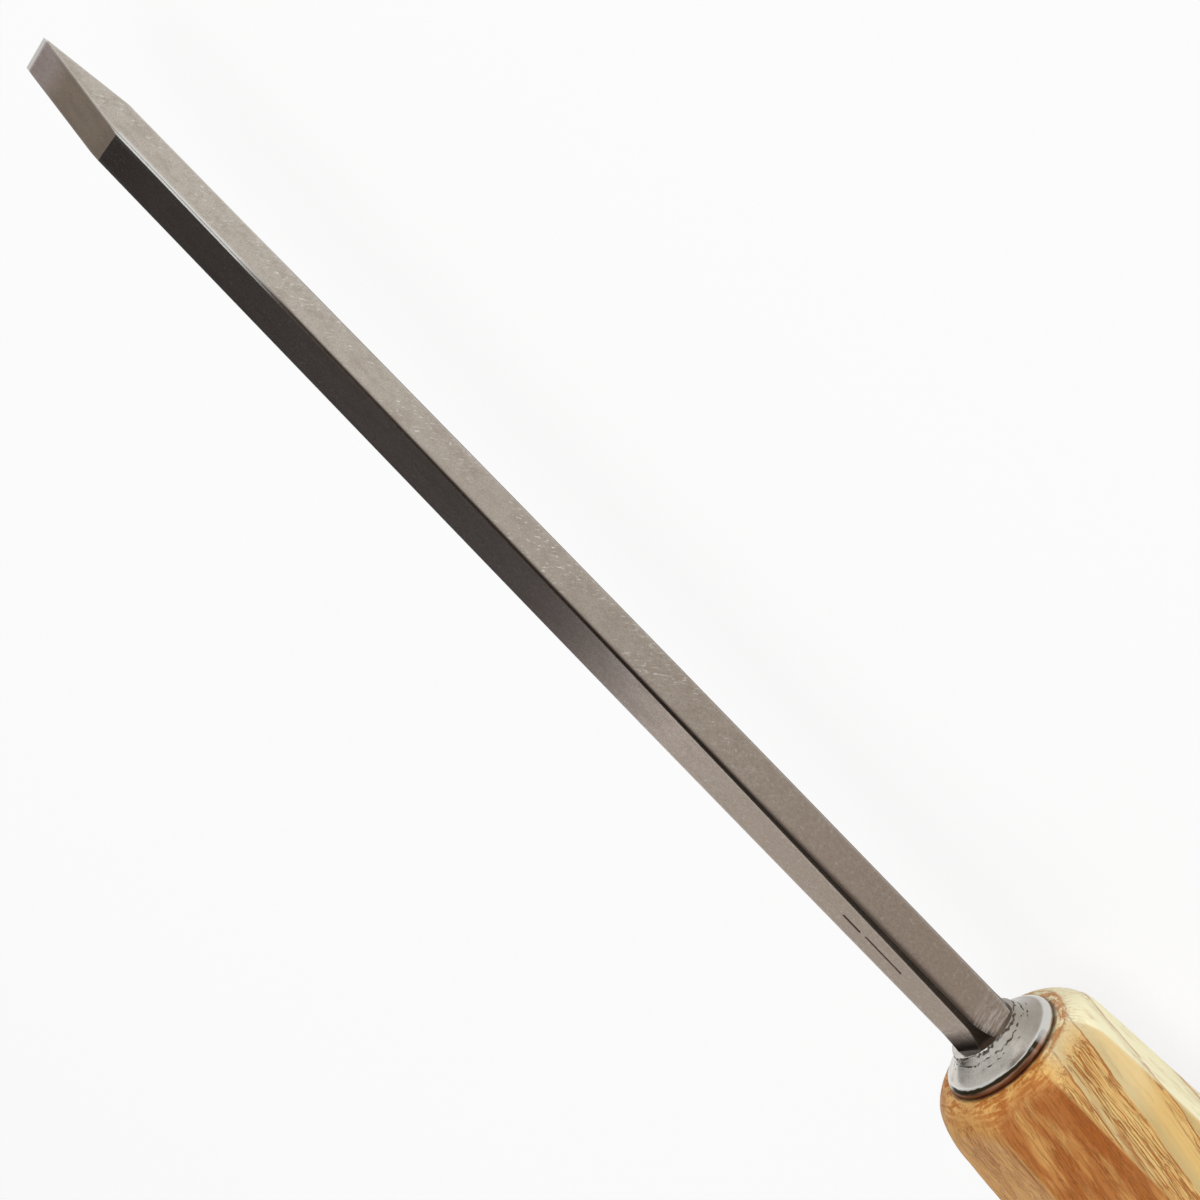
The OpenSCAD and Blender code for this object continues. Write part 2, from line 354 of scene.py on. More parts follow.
def chamfered_ring(half_width, top, bottom, reaches, soft, samples):
    """Rings of a chamfered bar, each point's distance from its nearest corner, and the number of its side.

    The eight sides are sampled along their length, and one more point between two sides eases their corner.
    """
    deepest = 0.8
    cut_top = np.minimum(np.maximum(half_width + top - reaches[0], soft), deepest * top)
    cut_bottom = np.minimum(np.maximum(half_width + bottom - reaches[1], soft), deepest * bottom)
    y = np.stack([half_width - cut_top, half_width, half_width, half_width - cut_bottom], axis=1)
    z = np.stack([top, top - cut_top, cut_bottom - bottom, -bottom], axis=1)
    y = np.concatenate([y, -y[:, ::-1]], axis=1)
    z = np.concatenate([z, z[:, ::-1]], axis=1)
    corners = np.stack([y, z], axis=-1)
    following = np.roll(corners, -1, axis=1)
    side = following - corners
    span = np.linalg.norm(side, axis=-1, keepdims=True)
    ease = np.minimum(soft, 0.3 * span)
    start = corners + side / span * ease
    stop = following - side / span * ease
    rings, distances, sides = [], [], []
    for i, share in enumerate(samples):
        along = share[None, :, None]
        rings.append(start[:, i:i + 1] * (1 - along) + stop[:, i:i + 1] * along)
        distances.append(np.minimum(share, 1 - share) * span[:, i])
        sides.append(np.full(len(share), i))
        next_start = start[:, (i + 1) % 8]
        rings.append((0.25 * stop[:, i] + 0.5 * following[:, i] + 0.25 * next_start)[:, None])
        distances.append(np.zeros((len(span), 1)))
        sides.append([0])
    return np.concatenate(rings, axis=1), np.concatenate(distances, axis=1), np.concatenate(sides)


def shank_rows(size):
    """Distances of the shank's rings behind the edge, closest together at the bevels and the grooves."""
    breaks = [0, size.hone_length, size.bevel_bottom, size.bevel_top]
    counts = [6, 30, 6]
    tip = [ramp(a + CRISP, b - CRISP, count) for a, b, count in zip(breaks, breaks[1:], counts)]
    grooves_start = size.blade_reach - GROOVED[1]
    grooves_stop = size.blade_reach - GROOVED[0]
    return np.unique(np.concatenate([
        breaks, *tip, [size.bevel_top + CRISP],
        ramp(size.bevel_top, grooves_start, 150)[1:],
        ramp(grooves_start, grooves_stop, 110)[1:],
        ramp(grooves_stop, size.blade_reach - size.collar_length, 70)[1:],
    ]))


def in_grooves(size, u, y):
    """How deep a point lies in the plain straight grooves: 0 beside them, 1 on their middle lines."""
    deep = 0
    for start, stop, shift, share in GROOVES:
        gap = np.hypot(u - np.clip(u, start, stop), y + shift)
        deep = np.maximum(deep, np.clip(1 - (gap / (share * size.groove_width)) ** 2, 0, 1))
    return deep


def shank_marks(size, d, ring, from_corner, side):
    """What the blade's finish reads over the shank: where each kind of worked or worn steel lies, and where
    painted reflection and highlight go beside the corners.
    """
    # The band beside the upper corners carries painted dark reflection.
    band = np.interp(d, np.array([35, 95, 120]) * MM, np.array([0.16, 0.2, 0.45]) * MM)
    beside = np.exp(-(from_corner / band[:, None]) ** 2) * np.isin(side, NARROW_SIDES)
    hone_mark, hone_fade, edge_mark = 0.45 * MM, 0.1 * MM, 0.09 * MM
    return {
        "bevel": (d < size.bevel_top)[:, None] * np.isin(side, BROAD_SIDES),
        "honed": np.clip((hone_mark - d) / hone_fade, 0, 1)[:, None],
        "chamfer": side % 2 == 0,
        "edge": np.exp(-from_corner / edge_mark),
        "beside": beside * (ring[..., 1] > 0),
    }


def blade_surface(size):
    """The blade in one skin from the edge to the tang's end.

    Each row is a ring round the axis. Along the shank the ring is the chamfered bar, whose faces flare out
    at the foot and end on the collar. Behind it the ring is the round neck, then the square tang.
    """
    blade = Blade(size)
    d = shank_rows(size)
    u = size.blade_reach - d
    flare = blade.flare(u)
    on_shank = np.minimum(d, blade.shank)
    width = blade.half_width(on_shank) + flare
    top = blade.bevelled(on_shank, size.bevel_top) + flare
    bottom = blade.bevelled(on_shank, size.bevel_bottom) + flare
    samples = [ramp(0, 1, 5), near_ends(14)] * 4
    samples[TOP_SIDE] = near_ends(70)
    reaches = (blade.corner_reach(d), blade.corner_reach(d, size.lower_chamfer))
    ring, from_corner, side = chamfered_ring(width, top, bottom, reaches, size.corner_soft, samples)
    on_top = ring[..., 1] > top[:, None] - CRISP
    punched = np.where(on_top, in_grooves(size, u[:, None], ring[..., 0]), 0)
    ring[..., 1] -= size.groove_depth * punched
    shank = np.concatenate([np.broadcast_to(u[:, None, None], (*ring.shape[:2], 1)), ring], axis=-1)
    aim = ring[-1] / np.linalg.norm(ring[-1], axis=-1, keepdims=True)
    square = 1 / np.abs(aim).max(-1, keepdims=True)
    neck_r = size.neck_diameter / 2
    hidden = [
        (size.collar_length, neck_r), (-size.ferrule_length, neck_r),
        (-size.ferrule_length, tang_root(size) * square), (-size.tang_length, size.tang_tip / 2 * square)]
    hidden_rows = [
        np.concatenate([np.full((len(aim), 1), place), aim * reach], axis=-1) for place, reach in hidden]
    grid = np.concatenate([shank, hidden_rows])
    grid[..., 0] += FRONT_X
    grid[..., 2] += AXIS_Z
    marks = {}
    for name, values in {**shank_marks(size, d, ring, from_corner, side), "punched": punched}.items():
        marks[name] = np.zeros(grid.shape[:2])
        marks[name][:len(d)] = values
    return surface("blade", grid, marks=marks)


def collar_surface(size):
    """The collar: a closed section of back face, rim, hollow, front face and bore, turned about the axis.

    Three ragged grooves run round the hollow: one at the lip of the front face, two fainter ones outside it.
    """
    bore = size.neck_diameter / 2 + size.press_gap
    rim_centre = np.array([size.collar_diameter / 2 - size.rim_round, size.rim_stand])
    hollow_centre = rim_centre + (size.rim_round + size.hollow_radius) * on_circle(size.hollow_steep)
    rim_turn = ramp(-math.asin(size.rim_stand / size.rim_round), size.hollow_steep, 48)
    rim = rim_centre + size.rim_round * on_circle(rim_turn)
    lip_turn = math.asin((hollow_centre[1] - size.collar_length) / size.hollow_radius)
    hollow_turn = ramp(size.hollow_steep, lip_turn, 90)[1:]
    hollow = hollow_centre - size.hollow_radius * on_circle(hollow_turn)
    lip_r = hollow[-1, 0]
    back = np.stack([ramp(bore, rim[0, 0], 8)[:-1], np.zeros(7)], axis=-1)
    front = np.stack([ramp(lip_r, bore, 40)[1:], np.full(39, size.collar_length)], axis=-1)
    inside = np.stack([np.full(4, bore), ramp(size.collar_length, 0, 6)[1:-1]], axis=-1)
    section = np.concatenate([back, rim, hollow, front, inside])
    rim_stop = len(back) + len(rim)
    on_rim = slice(len(back), rim_stop)
    plain_rows = 6
    may_pit = slice(rim_stop, rim_stop + len(hollow) + len(front) - plain_rows)
    turn = ramp(0, 2 * np.pi, 385)[:-1]
    radius, place = section[:, :1], section[:, 1:]
    wander = 0.14 * MM * (ragged(turn, 5.0) - 0.5)
    # Distance outside the lip, way it wanders, width and depth of each groove.
    grooves = (
        (0.06 * MM, 1, 0.06 * MM, 0.3 + 0.7 * ragged(turn, 1.0)),
        (0.45 * MM, -1, 0.05 * MM, ragged(turn, 2.0)),
        (0.85 * MM, 1, 0.05 * MM, ragged(turn, 6.0) ** 3),
    )
    pits = np.zeros((len(section), len(turn)))
    for out, way, width, depth in grooves:
        line = radius[may_pit] - lip_r - out - way * wander
        pits[may_pit] += np.exp(-(line / width) ** 2) * depth
    sunk_back, sunk_in = 0.05 * MM, 0.03 * MM
    place = place - sunk_back * pits
    radius = radius - sunk_in * pits
    # The dark band on the rim, on part of the way round: partly a dark film, partly a painted dark
    # reflection.
    dark_middle, dark_reach = math.radians(122), math.radians(60)
    dark_ragged, dark_fade = math.radians(9), math.radians(5)
    around = np.clip(3 * np.cos(turn - dark_middle) - 1.2 + 0.5 * ragged(turn, 3.0), 0, 1)
    dark_stop = dark_reach + dark_ragged * (ragged(turn, 4.0) - 0.5)
    rim_dark = np.zeros(pits.shape)
    rim_dark[on_rim] = np.clip((dark_stop - rim_turn[:, None]) / dark_fade, 0, 1) * around
    grid = np.stack([place + FRONT_X, radius * np.cos(turn), radius * np.sin(turn) + AXIS_Z], axis=-1)
    marks = {"pitted": np.clip(pits * 1.3, 0, 1), "rim_dark": rim_dark}
    return surface("collar", grid, closed_rows=True, marks=marks)


def octagon_ring(half_flats, soft, flat_samples, corner_samples):
    """Directions and radii of a rounded octagon: eight flats, each followed by the arc of its ridge."""
    inner = (half_flats - soft) / math.cos(HALF_SIDE)
    flat_end = np.arctan((half_flats - soft) * math.tan(HALF_SIDE) / half_flats)
    flat = flat_end[:, None] * flat_samples
    lean = HALF_SIDE * corner_samples
    arc_y = inner[:, None] * math.cos(HALF_SIDE) + soft * np.cos(HALF_SIDE + lean)
    arc_z = inner[:, None] * math.sin(HALF_SIDE) + soft * np.sin(HALF_SIDE + lean)
    turn = np.concatenate([flat, np.arctan2(arc_z, arc_y)], axis=1)
    radius = np.concatenate([half_flats[:, None] / np.cos(flat), np.hypot(arc_y, arc_z)], axis=1)
    sides = np.arange(8) * 2 * HALF_SIDE
    turns = (turn[:, None, :] + sides[None, :, None]).reshape(len(turn), -1)
    return turns, np.tile(radius, (1, 8))


class Handle:
    """Handle shapes worked out from the sizes; an outline is pairs of radius and place u on the axis."""

    def __init__(self, size):
        self.size = size

    def half_flats(self, u):
        """Half the width across the flats: front slope, swell arc and rear slope."""
        size = self.size
        swell_u = -size.flats_end
        slope = math.tan(size.front_slope)
        swell_half = size.nose_flats / 2 + slope * (size.flats_end - size.nose_length)
        centre_u = swell_u - size.swell_radius * math.sin(size.front_slope)
        rear_u = centre_u - size.swell_radius * math.sin(size.rear_slope)
        base = swell_half - size.swell_radius * math.cos(size.front_slope)
        on_arc = np.clip(u - centre_u, rear_u - centre_u, swell_u - centre_u)
        arc = base + np.sqrt(size.swell_radius ** 2 - on_arc ** 2)
        front = swell_half + slope * (swell_u - u)
        rear = arc - math.tan(size.rear_slope) * np.maximum(0, rear_u - u)
        return np.where(u > swell_u, front, rear)

    def butt(self):
        """Outline of the domed butt and of the arc that eases it into the flats."""
        size = self.size
        butt_u = -size.handle_length
        round_u = butt_u + size.butt_length
        round_r = float(self.half_flats(np.array(round_u))) * CORNER_SHARE + CORNER_EASE - size.butt_round
        squares = round_r ** 2 + size.butt_length ** 2 - size.butt_round ** 2
        dome_r = squares / (size.butt_length - size.butt_round) / 2
        dome_stop = math.asin(round_r / (dome_r - size.butt_round))
        dome = np.flip(on_circle(ramp(0, dome_stop, 30)[1:]), axis=1)
        ease = on_circle(ramp(math.pi / 2 - dome_stop, 0, 14)[1:])
        return np.concatenate([
            np.array([0, butt_u + dome_r]) + dome_r * dome * [1, -1],
            np.array([round_r, round_u]) + size.butt_round * ease * [1, -1]])

    def nose(self):
        """Outline of the turned nose, a quarter of an ellipse, and the way that each of its points faces."""
        size = self.size
        face_r = size.nose_face / 2
        drop = size.nose_flats / 2 * CORNER_SHARE + CORNER_EASE - face_r
        sweep = on_circle(ramp(0, math.pi / 2, 56))
        outline = np.stack([face_r + drop * sweep[:, 0], size.nose_length * (sweep[:, 1] - 1)], axis=-1)
        facing = sweep / np.array([drop, size.nose_length])
        return outline, facing / np.linalg.norm(facing, axis=1, keepdims=True)

    def pockets(self, turn):
        """Places and radii of the rows from the front face to the end of the tang's pocket."""
        size = self.size
        square = 1 / np.maximum(np.abs(np.cos(turn)), np.abs(np.sin(turn)))
        root = tang_root(size)
        taper = (root - size.tang_tip / 2) / (size.tang_length - size.ferrule_length)
        ring_r = size.ferrule_diameter / 2 + size.wood_gap
        neck_r = size.neck_diameter / 2 + size.wood_gap
        ring_u = -size.ferrule_length
        under_collar = ramp(size.nose_face / 2, size.collar_diameter / 2, 5)[1:]
        tip = size.tang_tip / 2 + size.wood_gap - taper * size.tip_gap
        steps = [(0, reach) for reach in under_collar] + [
            (0, ring_r), (ring_u, ring_r), (ring_u, neck_r), (ring_u - size.wood_gap, neck_r),
            (ring_u - size.wood_gap, (root + size.wood_gap) * square),
            (-size.tang_length - size.tip_gap, tip * square)]
        places = np.stack([np.full(len(turn), place) for place, _ in steps])
        return places, np.stack([np.broadcast_to(reach, turn.shape) for _, reach in steps])


def handle_surface(size):
    """The handle in one skin from the middle of its butt to the end of the tang's pocket.

    Outside, each point is at the smaller of two radii: the octagon's, from the flats' lengthwise outline,
    and the turned limit of the domed butt or of the nose, which torn grain creases. Inside, the rows follow
    the ring's pocket and the square pocket of the tang.
    """
    handle = Handle(size)
    butt = handle.butt()
    nose, facing = handle.nose()
    flats_u = ramp(butt[-1, 1], nose[0, 1], 80)[1:-1]
    no_limit = size.handle_length
    flats = np.stack([np.full(len(flats_u), no_limit), flats_u], axis=-1)
    outline = np.concatenate([butt, flats, nose])
    limit, u = outline[:, :1], outline[:, 1:]
    flat_samples = ramp(-1, 1, 41)
    corner_samples = ramp(-1, 1, 9)[1:-1]
    turn, octagon = octagon_ring(handle.half_flats(u[:, 0]), size.ridge_soft, flat_samples, corner_samples)
    well_inside = limit < 0.7 * octagon.min()
    radius = np.where(well_inside, limit, soft_min(octagon, limit, size.nose_soft))
    fully_turned = 0.12 * size.nose_flats
    turned = np.clip((octagon - radius) / fully_turned, 0, 1)
    along = np.concatenate([[0], np.cumsum(np.linalg.norm(np.diff(outline, axis=0), axis=1))])
    on_nose = slice(-len(nose), None)
    creases = np.zeros(turn.shape)
    creases[on_nose] = turned[on_nose] * torn_grain(turn[on_nose], along[on_nose, None])
    creases[-1] = 0
    places = np.repeat(u, turn.shape[1], axis=1)
    radius[on_nose] -= size.nose_relief * creases[on_nose] * facing[:, :1]
    places[on_nose] -= size.nose_relief * creases[on_nose] * facing[:, 1:]
    inside_places, inside_radius = handle.pockets(turn[-1])

    def over_all(outside, inside):
        """A mark over every row, from its values outside and its one value inside."""
        return np.concatenate([outside, np.full(inside_radius.shape, inside)])

    on_ridge = np.concatenate([np.zeros(len(flat_samples)), 1 - np.abs(corner_samples) ** 2])
    marks = {
        "cut_across": over_all(turned * (u > -2 * size.nose_length), 1.0),
        "torn": over_all(creases, 0.0),
        "ridge": over_all(np.tile(on_ridge, 8) * (1 - turned), 0.0),
    }
    places = np.concatenate([places, inside_places])
    radius = np.concatenate([radius, inside_radius])
    turn = np.concatenate([turn, np.broadcast_to(turn[-1], inside_radius.shape)])
    # Painted shade on the wood's front face just outside the collar, where the two meet.
    shade_reach = 0.5 * MM
    past_collar = (radius - size.collar_diameter / 2) / shade_reach
    marks["collar_shade"] = np.clip(1 - past_collar, 0, 1) * (places > -size.nose_length)
    grid = np.stack([places + FRONT_X, radius * np.cos(turn), radius * np.sin(turn) + AXIS_Z], axis=-1)
    return surface("handle", grid, marks=marks)


class Field:
    """A socket of a node tree. Arithmetic on it adds Math nodes, and node() adds any other kind."""

    def __init__(self, tree, socket=None):
        self.tree = tree
        self.socket = socket

    def node(self, kind, settings=None, sockets=None, out=0):
        """Adds a node, makes its settings, then fills its sockets with values or links."""
        made = self.tree.nodes.new(kind)
        for name, value in (settings or {}).items():
            setattr(made, name, value)
        for name, value in (sockets or {}).items():
            if isinstance(value, Field):
                self.tree.links.new(value.socket, made.inputs[name])
            else:
                made.inputs[name].default_value = value
        return Field(self.tree, made.outputs[out] if made.outputs else None)

    def calculate(self, operation, *values):
        """A Math node over numbers and fields."""
        return self.node("ShaderNodeMath", {"operation": operation}, dict(enumerate(values)))

    def vector(self, operation, *values, out="Vector"):
        """A Vector Math node over vectors."""
        return self.node("ShaderNodeVectorMath", {"operation": operation}, dict(enumerate(values)), out)

    def __add__(self, other):
        return self.calculate("ADD", self, other)

    __radd__ = __add__

    def __sub__(self, other):
        return self.calculate("SUBTRACT", self, other)

    def __rsub__(self, other):
        return self.calculate("SUBTRACT", other, self)

    def __mul__(self, other):
        return self.calculate("MULTIPLY", self, other)

    __rmul__ = __mul__

    def __truediv__(self, other):
        return self.calculate("DIVIDE", self, other)

    def __pow__(self, other):
        return self.calculate("POWER", self, other)

    def __abs__(self):
        return self.calculate("ABSOLUTE", self)

    def smooth(self, low, high):
        """0 below low, 1 above high and a smooth step between; falls if low is above high."""
        ends = {1: high, 2: low, 3: 1.0, 4: 0.0} if low > high else {1: low, 2: high}
        return self.node("ShaderNodeMapRange", {"interpolation_type": "SMOOTHSTEP"}, {0: self, **ends})

    def mix(self, a, b):
        """Colour a where this field is 0 and b where it is 1; the node's colour sockets go by number."""
        return self.node(
            "ShaderNodeMix", {"data_type": "RGBA", "clamp_factor": True},
            {0: self, 6: opaque(a), 7: opaque(b)}, out=2)

    def stretch(self, scale, shift=(0, 0, 0), turn=(0, 0, 0)):
        """This vector scaled, then turned, then shifted."""
        return self.node("ShaderNodeMapping", None, {0: self, 1: shift, 2: turn, 3: scale})

    def noise(self, scale, detail=3.0, roughness=0.55, out="Fac"):
        """Cloudy noise over this vector."""
        return self.node(
            "ShaderNodeTexNoise", None,
            {"Vector": self, "Scale": scale, "Detail": detail, "Roughness": roughness}, out)

    def cells(self, scale):
        """Distance to the middle of the nearest cell over this vector."""
        return self.node("ShaderNodeTexVoronoi", None, {"Vector": self, "Scale": scale}, "Distance")

    def mark(self, name):
        """A value stored on the mesh's points."""
        return self.node("ShaderNodeAttribute", {"attribute_name": name}, out="Fac")

    def parts(self):
        """The three parts of this vector."""
        first = self.node("ShaderNodeSeparateXYZ", None, {0: self})
        return [Field(self.tree, part) for part in first.socket.node.outputs]

    def bump(self, distance, strength):
        """A surface normal bent by this height."""
        return self.node(
            "ShaderNodeBump", None, {"Height": self, "Distance": distance, "Strength": strength}, "Normal")


def opaque(colour):
    """A colour with full alpha, or the field itself."""
    return colour if isinstance(colour, Field) else (*tuple(colour)[:3], 1.0)


def layered(colour, *layers):
    """Lays colours over one another in order, each through its mask."""
    for mask, over in layers:
        colour = mask.mix(colour, over)
    return colour


def new_material(name):
    """An empty material: its tree as a Field, and object coordinates in millimetres from the tool's axis."""
    material = bpy.data.materials.new(name)
    material.use_nodes = True
    material.node_tree.nodes.clear()
    field = Field(material.node_tree)
    place = field.node("ShaderNodeTexCoord", out="Object")
    return material, field, place.stretch((1 / MM, 1 / MM, 1 / MM), (0, 0, -AXIS_Z / MM))


def finish_surface(field, sockets):
    """Ends a material in one Principled shader."""
    shader = field.node("ShaderNodeBsdfPrincipled", None, sockets)
    field.node("ShaderNodeOutputMaterial", None, {0: shader})


def blade_finish(colours):
    """Ground steel: slanting scratches, flecks and dull blotches, browner toward the foot.

    A dark stain follows the shank's corners and lies in the grooves; on the chamfers and beside the upper
    corners it is partly a painted dark reflection that grows toward the foot. The top face carries painted
    shade at the collar and a painted dark reflection just behind the upper bevel. The honed strip is worn
    bright, the corners near the edge carry a painted highlight, and a bright line along every corner is
    partly wear and partly a painted highlight. x is in millimetres, from the part's middle toward the edge.
    """
    material, field, place = new_material("blade_steel")
    x, y, z = place.parts()
    names = ("bevel", "honed", "chamfer", "edge", "beside", "punched")
    bevel, honed, chamfer, edge, beside, punched = (field.mark(name) for name in names)
    slanted = place.stretch((1, 1, 1), turn=(0, math.radians(38), 0))
    fleck = slanted.stretch((1.1, 5, 5)).noise(1.0, 3, 0.6)
    scratch = slanted.stretch((0.35, 9, 9)).noise(1.0, 3, 0.6)
    grain = place.noise(6.0, 3, 0.65)
    mottle = place.noise(2.2, 4, 0.65)
    blotch = place.stretch((0.35, 0.7, 0.7)).noise(1.0, 4, 0.55)
    cloud = place.stretch((0.12, 0.35, 0.35)).noise(1.0, 2)
    rub = place.stretch((5, 0.6, 0.6)).noise(1.0, 3)
    shank = 1 - bevel
    flat = 1 - chamfer
    upper = (z - abs(y) + 0.6).smooth(-0.4, 0.2) * flat
    broad = upper * shank
    rear = x.smooth(70, 30)
    toward_edge = x.smooth(103, 112)
    flecks = fleck.smooth(0.56, 0.74) * cloud.smooth(0.35, 0.6) * x.smooth(30, 80) * shank
    specks = place.cells(1.3).smooth(0.2, 0.08) * cloud.smooth(0.45, 0.65) * x.smooth(20, 75) * shank
    # How dark the chamfers are: a mottled stain, with painted dark reflection growing toward the foot and
    # painted shade by the collar.
    on_chamfer = 0.3 + 0.2 * mottle + 0.5 * x.smooth(15, 60) + 0.4 * x.smooth(9, 5)
    # Painted shade on the top face where it meets the collar, with a ragged border.
    shade_at_collar = (x + 2.5 * (mottle - 0.5)).smooth(7.4, 5.0)
    ground = layered(
        x.smooth(131.5, 134).mix(colours.bevel, colours.bevel_edge),
        (x.smooth(127.2, 125.6) * 0.3, colours.steel_foot))
    steel = layered(
        x.smooth(125, 8).mix(colours.steel, colours.steel_foot),
        (bevel, ground),
        (broad * x.smooth(40, 70), colours.broad),
        # Painted dark reflection on the top face just behind the upper bevel.
        (broad * x.smooth(118, 125) * 0.4, colours.stain_and_shade),
        (grain.smooth(0.4, 0.75) * 0.3, colours.stain_and_shade),
        (blotch.smooth(0.42, 0.68) * 0.3, colours.steel_foot),
        (mottle.smooth(0.45, 0.7) * 0.25, colours.steel_foot),
        (mottle.smooth(0.45, 0.7) * rear * 0.12, colours.stain_and_shade),
        (mottle.smooth(0.45, 0.3) * rear * 0.12, colours.bright),
        (scratch.smooth(0.55, 0.75) * 0.16, colours.stain_and_shade),
        (flecks, colours.bright),
        (specks * 0.5, colours.bright),
        # A bright line along every corner: partly wear, partly a painted highlight.
        (edge * flat * 0.3, colours.bright),
        # Painted highlight on the chamfers and beside them, in a stretch near the edge.
        ((beside + chamfer) * toward_edge * x.smooth(126.5, 124.5) * 0.8, colours.bright),
        # Behind that stretch: stain with painted dark reflection on the chamfers, painted dark reflection
        # beside the upper corners.
        ((chamfer * on_chamfer + beside * 0.95) * (1 - toward_edge), colours.stain_and_shade),
        (rub.smooth(0.45, 0.65) * x.smooth(8.5, 6) * flat * 0.22, colours.bright),
        # Painted shade at the collar on the top face.
        (upper * shade_at_collar * 0.9, colours.stain_and_shade),
        (punched.smooth(0.1, 0.7), colours.stain_and_shade),
        (honed * 0.8, colours.bright))
    roughness = 0.09 + 0.09 * grain + 0.06 * blotch + 0.16 * bevel + 0.3 * punched + 0.16 * chamfer
    height = scratch * 0.4 + grain * 0.5 + fleck * 0.3
    finish_surface(field, {
        "Base Color": steel, "Metallic": 1 - 0.75 * honed, "Roughness": roughness,
        "Normal": height.bump(0.01 * MM, 0.35)})
    return material


def collar_finish(colours):
    """Polished steel: turning marks, cloudy tarnished patches, stained grooves, painted shade on its lower
    side, and a dark band on the rim, partly filmed steel and partly a painted dark reflection.
    """
    material, field, place = new_material("collar_steel")
    _, y, z = place.parts()
    radius = (y * y + z * z) ** 0.5
    turned = place.stretch((14, 0.3, 0.3)).noise(1.0, 3, 0.5)
    cloud = place.noise(0.7, 4, 0.55)
    grain = place.noise(5.0, 3, 0.6)
    broken = field.mark("pitted") * (0.35 + place.noise(3.0, 3).smooth(0.35, 0.6))
    rim_dark = field.mark("rim_dark")
    # Olive band: partly film, partly painted dark reflection; its outermost brown is partly a painted
    # reflection of the wood beside it.
    rim = (radius + 0.12 * (cloud - 0.5)).smooth(6.52, 6.61).mix(colours.rim_olive, colours.rim_brown)
    steel = layered(
        # Painted shade: the collar's lower side is darker.
        (z / radius).smooth(0.75, -0.3).mix(colours.collar, colours.shaded_steel),
        (cloud.smooth(0.4, 0.75) * 0.35, colours.steel_foot),
        (turned.smooth(0.45, 0.75) * 0.2, colours.steel_foot),
        (grain.smooth(0.5, 0.7) * 0.3, colours.steel_foot),
        (radius.smooth(5.9, 6.2) * 0.7, colours.bright),
        (broken.smooth(0.12, 0.6) * 0.8, colours.stain_and_shade),
        (rim_dark, rim))
    roughness = 0.12 + 0.12 * cloud + 0.06 * grain + 0.35 * broken + 0.15 * rim_dark
    height = turned * 0.5 + grain * 0.25 - broken
    finish_surface(field, {
        "Base Color": steel, "Metallic": 1.0, "Roughness": roughness, "Normal": height.bump(0.02 * MM, 0.4)})
    return material


def ferrule_finish(colours):
    """Plain turned steel for the ring inside the nose."""
    material, field, place = new_material("ferrule_steel")
    turned = place.stretch((8, 0.4, 0.4)).noise(1.0, 3, 0.5)
    steel = (turned.smooth(0.35, 0.75) * 0.5).mix(colours.ferrule, colours.stain_and_shade)
    finish_surface(field, {
        "Base Color": steel, "Metallic": 1.0, "Roughness": 0.3 + 0.2 * turned,
        "Normal": turned.bump(0.02 * MM, 0.4)})
    return material


